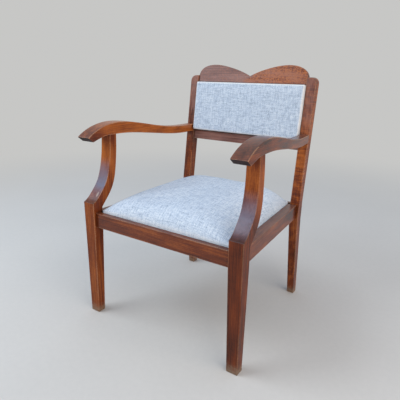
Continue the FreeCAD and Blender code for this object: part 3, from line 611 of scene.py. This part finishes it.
def padMesh(name, top, base, sideRows, highlightMask):
    # top and base are grids of points of one shape; the last argument is 1 where the cover turns over an edge
    # and sets the painted edge highlight
    rows, cols = top.shape[:2]
    ring = ([(0, i) for i in range(cols)] + [(j, cols - 1) for j in range(1, rows)]
            + [(rows - 1, i) for i in range(cols - 2, -1, -1)] + [(j, 0) for j in range(rows - 2, 0, -1)])
    u, v = arcLength(top, 1), arcLength(top, 0)
    points = [top.reshape(-1, 3), base.reshape(-1, 3)]
    deep = float(np.linalg.norm(top[0, 0] - base[0, 0]))
    behind = np.sign(u) * (2 * np.abs(u).max() + deep - np.abs(u))
    weave = [np.stack([u, v, highlightMask], 2).reshape(-1, 3), np.stack([behind, v, 0 * u], 2).reshape(-1, 3)]
    count = rows * cols
    topRing = [j * cols + i for j, i in ring]
    lowRing = [count + k for k in topRing]
    levels = [topRing]
    for r in range(1, sideRows):
        share = r / sideRows
        rowPoints, rowWeave = [], []
        for j, i in ring:
            point = top[j, i] * (1 - share) + base[j, i] * share
            drop = float(np.linalg.norm(top[j, i] - point))
            out = np.array([(i == cols - 1) - (i == 0), (j == rows - 1) - (j == 0), 0], float) * drop
            rowPoints.append(point)
            rowWeave.append(np.array([u[j, i], v[j, i], highlightMask[j, i]]) + out)
        start = sum(len(p) for p in points)
        levels.append(list(range(start, start + len(ring))))
        points.append(np.array(rowPoints))
        weave.append(np.array(rowWeave))
    levels.append(lowRing)
    faces = []
    for j in range(rows - 1):
        for i in range(cols - 1):
            k = j * cols + i
            faces.append((k, k + 1, k + cols + 1, k + cols))
            faces.append((count + k, count + k + cols, count + k + cols + 1, count + k + 1))
    for upper, lower in zip(levels, levels[1:]):
        for a in range(len(ring)):
            b = (a + 1) % len(ring)
            faces.append((upper[a], lower[a], lower[b], upper[b]))
    mesh = bpy.data.meshes.new(name)
    mesh.from_pydata(np.concatenate(points).tolist(), [], faces)
    mesh.polygons.foreach_set("use_smooth", [True] * len(mesh.polygons))
    place = mesh.attributes.new("weave", "FLOAT_VECTOR", "POINT")
    place.data.foreach_set("vector", np.concatenate(weave).ravel())
    return mesh


def coordsOf(mesh):
    flat = np.zeros(len(mesh.vertices) * 3)
    mesh.vertices.foreach_get("co", flat)
    return flat.reshape(-1, 3)


# how the covers settle; calm evens out the swelling
stuffing = {"quality": 6, "mass": 0.3, "frames": 20, "calm": 3}


def swell(obj, held, look):
    # stuffing pushes the cover out; the turned-in edges stay where they are tacked
    start = coordsOf(obj.data)
    group = obj.vertex_groups.new(name="held")
    group.add([int(k) for k in np.nonzero(held)[0]], 1.0, "REPLACE")
    cloth = obj.modifiers.new("stuffing", "CLOTH")
    rule = cloth.settings
    rule.quality = stuffing["quality"]
    rule.mass = stuffing["mass"]
    rule.tension_stiffness = rule.compression_stiffness = look["stiff"]
    rule.bending_stiffness = look["bend"]
    rule.use_pressure = True
    rule.uniform_pressure_force = look["pressure"]
    rule.vertex_group_mass = "held"
    rule.effector_weights.gravity = 0.0
    cloth.point_cache.frame_start = 1
    cloth.point_cache.frame_end = stuffing["frames"]
    for number in range(1, stuffing["frames"] + 1):
        scene.frame_set(number)
    graph = bpy.context.evaluated_depsgraph_get()
    moved = coordsOf(obj.evaluated_get(graph).data) - start
    obj.modifiers.clear()
    obj.vertex_groups.clear()
    scene.frame_set(1)
    outward = np.zeros(len(start) * 3)
    obj.data.vertices.foreach_get("normal", outward)
    outward = outward.reshape(-1, 3)
    lift = (moved * outward).sum(1)
    spread = [round(float(v) / mm, 1) for v in (lift.min(), lift.mean(), lift.max())]
    print(obj.name, "moves", spread, "mm uncapped")
    reach = np.where(lift > 0, look["cap"], look["give"])
    lift = reach * np.tanh(lift / (stuffing["calm"] * reach))
    obj.data.vertices.foreach_set("co", (start + lift[:, None] * outward).ravel())
    obj.data.update()


def smoothed(obj):
    fine = obj.modifiers.new("fine", "SUBSURF")
    fine.levels = fine.render_levels = 1
    finished(obj)


# drop-in seat
seatLook = {"front": -0.246, "rear": 0.202, "halfFront": 0.2377, "halfRear": 0.2016, "base": 0.3354,
            "edge": 0.3562, "rise": 0.0637, "corner": 0.007, "cols": 78, "rows": 78, "sideRows": 5,
            "lumps": 0.0009, "cornerDrop": 0.48, "cornerReach": 0.17, "rearDrop": 0.35, "rearReach": 0.05,
            "highlightMask": 0.5, "highlightDome": 0.11, "highlightEnd": 12, "heldAbove": 0.0005,
            "pressure": 4.0, "stiff": 12.0, "bend": 0.6, "cap": 0.0020, "give": 0.0006}
# the crown's height as a share of the rise: from the middle to a side, then from front to rear
seatAcross = [(0.0, 1.0), (0.2, 0.998), (0.45, 0.975), (0.65, 0.9), (0.8, 0.751), (0.9, 0.554), (0.95, 0.39),
              (0.985, 0.2), (1.0, 0.0)]
seatAlong = [(0.0, 0.03), (0.009, 0.2), (0.022, 0.36), (0.045, 0.53), (0.083, 0.69), (0.125, 0.765),
             (0.167, 0.815), (0.25, 0.885), (0.335, 0.93), (0.417, 0.96), (0.5, 0.98), (0.583, 0.993),
             (0.667, 1.01), (0.75, 1.02), (0.833, 0.985), (0.877, 0.90), (0.917, 0.74), (0.949, 0.53),
             (0.973, 0.33), (0.989, 0.16), (1.0, 0.03)]


def crowded(count):
    # shares from -1 to 1, closer together at the ends
    t = np.linspace(-1, 1, count)
    return t * (1.22 - 0.22 * t * t)


def seatPiece():
    look = seatLook
    s = crowded(look["cols"])[None, :]
    along = (crowded(look["rows"])[:, None] + 1) / 2
    length = look["rear"] - look["front"]
    fromEnd = np.minimum(along, 1 - along) * length
    near = np.clip(look["corner"] - fromEnd, 0, None)
    drawn = look["corner"] - np.sqrt(look["corner"] ** 2 - near ** 2)
    half = look["halfFront"] + (look["halfRear"] - look["halfFront"]) * along - drawn
    x = s * half
    y = look["front"] + along * length + 0 * s
    # slight lumps in the stuffing
    wave = np.sin(x * 31 + 1.3) * np.sin(y * 27 + 0.4) + 0.6 * np.sin(x * 58 - y * 41 + 2.0)
    dome = eased(seatAcross, np.abs(s)) * eased(seatAlong, along)
    drop = look["cornerDrop"] * np.exp(-along / look["cornerReach"])
    drop = drop + look["rearDrop"] * np.exp((along - 1) / look["rearReach"])
    dome = dome * (1 - drop * np.abs(s) ** 4)
    z = look["edge"] + look["rise"] * dome + look["lumps"] * wave * dome
    top = np.stack([x, y, z], 2)
    base = np.stack([x, y, np.full_like(z, look["base"])], 2)
    # painted highlight along the seat's front edge
    highlightMask = np.clip(1 - dome / look["highlightDome"], 0, 1) * np.clip(1 - along * look["highlightEnd"], 0, 1)
    highlightMask = look["highlightMask"] * highlightMask
    mesh = padMesh("seatCushion", top, base, look["sideRows"], highlightMask)
    mesh.materials.append(seatWeave)
    inner = ["seat_cover", "seat_pad", "seat_hessian", "seat_webbing_crosswise", "seat_webbing_lengthwise"]
    seat = newPiece("seatCushion", mesh, "drop_in_seat", inner)
    swell(seat, coordsOf(mesh)[:, 2] < look["edge"] + look["heldAbove"], look)
    smoothed(seat)


seatPiece()
print("seat made")


# upholstered back panel, leaned with the posts


def onBack(x, forward, height):
    back = backLook["setback"] - forward
    c, s = math.cos(backLook["lean"]), math.sin(backLook["lean"])
    y = backLook["pivotY"] + back * c + height * s
    z = backLook["pivotZ"] - back * s + height * c
    return np.stack([x, y, z], -1)


def edgeStops(half):
    # closer together over the rolled edge
    near = np.array([0.0, 0.7, 1.8, 3.4, 5.6, 8.5, 12.0]) * mm
    middle = half - backLook["edgeBand"]
    inner = np.linspace(-middle, middle, int(2 * middle / backLook["gridStep"]) + 1)
    return np.concatenate([near - half, inner, (half - near)[::-1]])


def backPiece():
    look = backLook
    px, ph = np.meshgrid(edgeStops(look["half"]), edgeStops(look["halfHeight"]))
    r = look["corner"]
    dx = np.clip(np.abs(px) - (look["half"] - r), 0, r)
    dh = np.clip(np.abs(ph) - (look["halfHeight"] - r), 0, r)
    nx = dx * np.sqrt(1 - dh ** 2 / (2 * r * r))
    nh = dh * np.sqrt(1 - dx ** 2 / (2 * r * r))
    x = np.sign(px) * (np.minimum(np.abs(px), look["half"] - r) + nx)
    h = np.sign(ph) * (np.minimum(np.abs(ph), look["halfHeight"] - r) + nh)
    straight = np.minimum(look["half"] - np.abs(px), look["halfHeight"] - np.abs(ph))
    inside = np.where((dx > 0) & (dh > 0), r - np.hypot(nx, nh), straight)
    turn = np.clip(look["roll"] - inside, 0, look["roll"])
    thick = look["thick"] - look["roll"] + np.sqrt(look["roll"] ** 2 - turn ** 2)
    crown = look["crown"] * (1 - (px / look["half"]) ** 2) * (1 - (ph / look["halfHeight"]) ** 2)
    height = look["middle"] + h
    top = onBack(x, thick + crown, height)
    base = onBack(x, np.full_like(x, look["rearGap"]), height)
    # painted highlight along the panel's edges
    highlightMask = np.clip(look["highlightStart"] - inside / look["highlightWidth"], 0, 1)
    mesh = padMesh("backPanelPad", top, base, look["sideRows"], highlightMask)
    mesh.materials.append(panelWeave)
    pad = newPiece("backPanelPad", mesh, "chair_frame", ["back_cover", "back_foam"])
    count = top.shape[0] * top.shape[1]
    held = np.ones(len(mesh.vertices), bool)
    held[:count] = (inside < look["heldEdge"]).ravel()
    swell(pad, held, look)
    smoothed(pad)


backPiece()
print("back panel made")


# stretched linings: under the seat and behind the panel
liningLook = {"thick": 0.0008, "frontHalf": 0.2228, "rearHalf": 0.1887, "sag": 0.0030, "underTop": 0.3352,
              "pucker": 0.0004, "puckersAlong": 8, "puckersAcross": 7, "stops": 45,
              "backHalf": 0.1955, "backHalfHeight": 0.07215, "rearSag": 0.0008, "rearForward": 0.0001,
              "backStops": (61, 25)}


def sheetPiece(name, grid, body, stands):
    rows, cols = grid.shape[:2]
    faces = [(j * cols + i, j * cols + i + 1, (j + 1) * cols + i + 1, (j + 1) * cols + i)
             for j in range(rows - 1) for i in range(cols - 1)]
    mesh = bpy.data.meshes.new(name)
    mesh.from_pydata(grid.reshape(-1, 3).tolist(), [], faces)
    mesh.polygons.foreach_set("use_smooth", [True] * len(faces))
    weave = np.stack([arcLength(grid, 1), arcLength(grid, 0), np.zeros((rows, cols))], 2)
    mesh.attributes.new("weave", "FLOAT_VECTOR", "POINT").data.foreach_set("vector", weave.ravel())
    mesh.materials.append(blackLining)
    piece = newPiece(name, mesh, body, [stands])
    wall = piece.modifiers.new("cloth", "SOLIDIFY")
    wall.thickness = liningLook["thick"]
    wall.offset = -1.0
    finished(piece)


def linings():
    look = liningLook
    low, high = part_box("seat_bottom_cloth")
    frontHalf, rearHalf, deep = look["frontHalf"], look["rearHalf"], high.y - low.y
    along = np.linspace(0, 1, look["stops"])[:, None]
    s = np.linspace(-1, 1, look["stops"])[None, :]
    half = frontHalf + (rearHalf - frontHalf) * along
    sides = np.sin(along * look["puckersAlong"] * math.pi) * np.abs(s) ** 8
    ends = np.sin(s * look["puckersAcross"] * math.pi) * np.abs(2 * along - 1) ** 8
    tacked = look["pucker"] * sides + look["pucker"] * ends
    sag = look["sag"] * (1 - s ** 2) * (1 - (2 * along - 1) ** 2) + np.abs(tacked)
    y = low.y + along * deep + 0 * s
    grid = np.stack([-s * half, y, look["underTop"] - sag], 2)    # faces down
    sheetPiece("underSeatLining", grid, "drop_in_seat", "seat_bottom_cloth")
    half, halfHeight = look["backHalf"], look["backHalfHeight"]
    cols, rows = look["backStops"]
    x, h = np.meshgrid(np.linspace(half, -half, cols), np.linspace(-halfHeight, halfHeight, rows))
    push = look["rearSag"] * (1 - (x / half) ** 2) * (1 - (h / halfHeight) ** 2)
    grid = onBack(x, look["rearForward"] - push, backLook["middle"] + h)
    sheetPiece("backPanelLining", grid, "chair_frame", "back_rear_cloth")


linings()
print("linings made")


# screws and tacks, set where the solids have them


def looseParts(node):
    bm = bmesh.new()
    bm.from_mesh(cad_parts[node].data)
    bmesh.ops.remove_doubles(bm, verts=bm.verts[:], dist=oakRule["merge"])
    parts, seen = [], set()
    for first in bm.verts:
        if first in seen:
            continue
        stack, found = [first], []
        seen.add(first)
        while stack:
            here = stack.pop()
            found.append(here.co.copy())
            for edge in here.link_edges:
                other = edge.other_vert(here)
                if other not in seen:
                    seen.add(other)
                    stack.append(other)
        parts.append(np.array(found))
    bm.free()
    return parts


def headAndAim(points):
    middle = points.mean(0)
    axis = np.linalg.svd(points - (points.max(0) + points.min(0)) / 2)[2][0]
    reach = (points - middle) @ axis
    across = np.linalg.norm(points - middle - reach[:, None] * axis, axis=1)
    wide = across > 0.8 * across.max()
    if reach[wide].mean() > 0.5 * (reach.max() + reach.min()):
        axis, reach = -axis, -reach
    onAxis = middle + axis * reach.min()
    return onAxis, axis, reach.max() - reach.min()


fastenerMesh = {"shankSides": 12, "headSides": 24, "slotLength": 0.02, "domeSides": 14, "domeRings": 7,
                "domeFlat": 0.24, "halfTurn": 3.14}


def fastenerTree(name, isScrew):
    tree = bpy.data.node_groups.new(name, "GeometryNodeTree")
    face = tree.interface
    face.new_socket("Geometry", in_out="INPUT", socket_type="NodeSocketGeometry")
    for label in ("headWidth", "headDepth", "shankWidth", "length", "slotWidth"):
        face.new_socket(label, in_out="INPUT", socket_type="NodeSocketFloat")
    face.new_socket("finish", in_out="INPUT", socket_type="NodeSocketMaterial")
    face.new_socket("seed", in_out="INPUT", socket_type="NodeSocketInt")
    face.new_socket("Geometry", in_out="OUTPUT", socket_type="NodeSocketGeometry")
    start = tree.nodes.new("NodeGroupInput").outputs
    shape = fastenerMesh

    def half(label):
        return times(tree, start[label], 0.5)

    def moved(mesh, z, scale=(1, 1, 1)):
        shift = addNode(tree, "ShaderNodeCombineXYZ", {2: z}).outputs[0]
        inputs = {"Geometry": mesh, "Translation": shift, "Scale": scale}
        return addNode(tree, "GeometryNodeTransform", inputs).outputs[0]

    shank = addNode(tree, "GeometryNodeMeshCylinder", {
        "Vertices": shape["shankSides"], "Radius": half("shankWidth"), "Depth": start["length"]})
    shank = moved(shank.outputs["Mesh"], half("length"))
    if isScrew:
        head = addNode(tree, "GeometryNodeMeshCone", {
            "Vertices": shape["headSides"], "Radius Top": half("shankWidth"),
            "Radius Bottom": half("headWidth"), "Depth": start["headDepth"]}).outputs["Mesh"]
        size = {0: shape["slotLength"], 1: start["slotWidth"], 2: start["headDepth"]}
        size = addNode(tree, "ShaderNodeCombineXYZ", size).outputs[0]
        slotBox = addNode(tree, "GeometryNodeMeshCube", {"Size": size}).outputs["Mesh"]
        head = addNode(tree, "GeometryNodeMeshBoolean", {"Mesh 1": head, "Mesh 2": slotBox},
                       operation="DIFFERENCE").outputs["Mesh"]
    else:
        dome = addNode(tree, "GeometryNodeMeshUVSphere", {
            "Segments": shape["domeSides"], "Rings": shape["domeRings"], "Radius": half("headWidth")})
        head = moved(dome.outputs["Mesh"], start["headDepth"], (1, 1, shape["domeFlat"]))
    whole = addNode(tree, "GeometryNodeJoinGeometry")
    tree.links.new(head, whole.inputs[0])
    tree.links.new(shank, whole.inputs[0])
    aim = addNode(tree, "GeometryNodeInputNamedAttribute", {"Name": "aim"}, data_type="FLOAT_VECTOR")
    facing = addNode(tree, "FunctionNodeAlignRotationToVector", {"Vector": aim.outputs[0]}, axis="Z")
    placed = addNode(tree, "GeometryNodeInstanceOnPoints", {
        "Points": start["Geometry"], "Instance": whole.outputs[0], "Rotation": facing.outputs[0]}).outputs[0]
    turn = addNode(tree, "FunctionNodeRandomValue", {2: 0.0, 3: shape["halfTurn"], 8: start["seed"]},
                   data_type="FLOAT").outputs[1]
    spin = addNode(tree, "ShaderNodeCombineXYZ", {2: turn}).outputs[0]
    placed = addNode(tree, "GeometryNodeRotateInstances", {"Instances": placed, "Rotation": spin}).outputs[0]
    real = addNode(tree, "GeometryNodeRealizeInstances", {0: placed}).outputs[0]
    done = addNode(tree, "GeometryNodeSetMaterial", {"Geometry": real, "Material": start["finish"]})
    tree.links.new(done.outputs[0], tree.nodes.new("NodeGroupOutput").inputs[0])
    return tree


def fasteners(name, node, body, tree, look, finish):
    found = [headAndAim(p) for p in looseParts(node)]
    mesh = bpy.data.meshes.new(name)
    mesh.from_pydata([f[0].tolist() for f in found], [], [])
    aims = np.array([f[1] for f in found])
    mesh.attributes.new("aim", "FLOAT_VECTOR", "POINT").data.foreach_set("vector", aims.ravel())
    piece = bpy.data.objects.new(name, mesh)
    scene.collection.objects.link(piece)
    maker = piece.modifiers.new("fasteners", "NODES")
    maker.node_group = tree
    values = dict(look, length=float(found[0][2]), finish=finish)
    for item in tree.interface.items_tree:
        if item.in_out == "INPUT" and item.name in values:
            maker[item.identifier] = values[item.name]
    finished(piece)
    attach(piece, body)
    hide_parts(node)


screwLook = {"headWidth": 0.0085, "headDepth": 0.003, "shankWidth": 0.0045, "slotWidth": 0.0011, "seed": 5}
panelScrewLook = dict(screwLook, shankWidth=0.0035, seed=11)
tackLook = {"headWidth": 0.0050, "headDepth": 0.0001, "shankWidth": 0.0014, "slotWidth": 0.0, "seed": 3}
screwTree, tackTree = fastenerTree("slottedScrews", True), fastenerTree("domedTacks", False)
fasteners("cornerBlockScrews", "corner_block_screws", "chair_frame", screwTree, screwLook, screwSteel)
fasteners("backPanelScrews", "back_screws", "chair_frame", screwTree, panelScrewLook, screwSteel)
fasteners("underSeatTacks", "seat_tacks", "drop_in_seat", tackTree, tackLook, tackSteel)
print("screws and tacks made")

# hidden timber that stays as the solids have it
plainTimber = {
    beechAcross: ("corner_block_front_left", "corner_block_front_right", "corner_block_rear_left",
                  "corner_block_rear_right", "seat_frame_front", "seat_frame_rear", "seat_rail_dowels",
                  "back_dowels"),
    beechAlong: ("seat_frame_left", "seat_frame_right", "arm_dowels", "seat_frame_dowels"),
    plywood: ("back_board",)}
for timber, nodeNames in plainTimber.items():
    for nodeName in nodeNames:
        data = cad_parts[nodeName].data
        data.materials.clear()
        data.materials.append(timber)
print("hidden timber finished")

# floor, sky and lamps
roomLook = {"pale": (0.57, 0.57, 0.56), "floor": (0.66, 0.605, 0.545), "near": 1.0, "far": 3.2, "sky": 1.0,
            "horizon": (0.48, 0.48, 0.465), "zenith": (0.45, 0.55, 0.70), "ground": (0.36, 0.35, 0.34),
            "radius": 25.0, "floorDrop": 0.0004, "floorShade": 0.94, "floorRough": 0.85, "aim": (0, 0, 0.45)}
lamps = {"rightWindow": {"place": (2.7, -0.9, 1.8), "size": (3.0, 2.4), "power": 57.0,
                         "colour": (1.0, 0.94, 0.86)},
         "frontSky": {"place": (-1.75, -2.15, 1.7), "size": (1.9, 1.2), "power": 12.5,
                      "colour": (0.80, 0.90, 1.0)},
         "highSky": {"place": (-1.75, -1.3, 2.65), "size": (1.9, 1.2), "power": 46.0,
                     "colour": (0.76, 0.88, 1.0)}}


def seenRays(tree):
    # rays that show the plain background: camera, mirror and glass
    light = addNode(tree, "ShaderNodeLightPath").outputs
    seen = plus(tree, light["Is Camera Ray"], light["Is Glossy Ray"])
    return plus(tree, seen, light["Is Transmission Ray"], clamp=True)


def floorMaterial():
    material, tree, surface, place = newMaterial("paleFloor")
    output = [n for n in tree.nodes if n.type == "OUTPUT_MATERIAL"][0]
    grit = cloudy(tree, place, scale=60.0, detail=4.0, rough=0.6)
    broad = cloudy(tree, place, scale=2.5, detail=2.0)
    value = timesPlus(tree, grit, 0.5, times(tree, broad, 0.5))
    low = tuple(c * roomLook["floorShade"] for c in roomLook["floor"])
    colour = ramp(tree, value, [(0.3, low), (0.7, roomLook["floor"])])
    feed(tree, surface, {"Base Color": colour, "Roughness": roomLook["floorRough"]})
    glow = addNode(tree, "ShaderNodeEmission", {"Color": (*roomLook["pale"], 1), "Strength": 1.0}).outputs[0]
    away = vecCalc(tree, "LENGTH", vecCalc(tree, "MULTIPLY", place, (1, 1, 0)))
    share = times(tree, between(tree, away, roomLook["near"], roomLook["far"]), seenRays(tree))
    mixed = addNode(tree, "ShaderNodeMixShader", {0: share, 1: surface.outputs[0], 2: glow}).outputs[0]
    below = addNode(tree, "ShaderNodeNewGeometry").outputs["Backfacing"]    # clear from below
    clear = addNode(tree, "ShaderNodeBsdfTransparent").outputs[0]
    mixed = addNode(tree, "ShaderNodeMixShader", {0: below, 1: mixed, 2: clear}).outputs[0]
    tree.links.new(mixed, output.inputs[0])
    return material


def setFloor():
    bm = bmesh.new()
    bmesh.ops.create_circle(bm, cap_ends=True, segments=96, radius=roomLook["radius"])
    for vert in bm.verts:
        vert.co.z = -roomLook["floorDrop"]
    mesh = bpy.data.meshes.new("studioFloor")
    bm.to_mesh(mesh)
    bm.free()
    mesh.materials.append(floorMaterial())
    floor = bpy.data.objects.new("studioFloor", mesh)
    scene.collection.objects.link(floor)


def setSky():
    world = bpy.data.worlds.new("softSky")
    scene.world = world
    world.use_nodes = True
    tree = world.node_tree
    back = tree.nodes["Background"]
    way = addNode(tree, "ShaderNodeTexCoord").outputs["Generated"]
    up = addNode(tree, "ShaderNodeSeparateXYZ", {0: way}).outputs[2]
    bar = ramp(tree, timesPlus(tree, up, 0.5, 0.5), [(0.42, roomLook["ground"]), (0.5, roomLook["horizon"]),
                                                     (0.60, roomLook["horizon"]), (0.74, roomLook["zenith"])])
    colour = blendColour(tree, seenRays(tree), bar, (*roomLook["pale"], 1))
    feed(tree, back, {"Color": colour, "Strength": roomLook["sky"]})


def setLamp(name, look):
    data = bpy.data.lights.new(name, "AREA")
    data.shape = "RECTANGLE"
    data.size, data.size_y = look["size"]
    data.energy = look["power"]
    data.color = look["colour"]
    lamp = bpy.data.objects.new(name, data)
    lamp.location = look["place"]
    aim = Vector(roomLook["aim"]) - Vector(look["place"])
    lamp.rotation_euler = aim.to_track_quat("-Z", "Y").to_euler()
    scene.collection.objects.link(lamp)


setFloor()
setSky()
for lampName, lampLook in lamps.items():
    setLamp(lampName, lampLook)
scene.view_settings.view_transform = "Standard"
print("room lit")
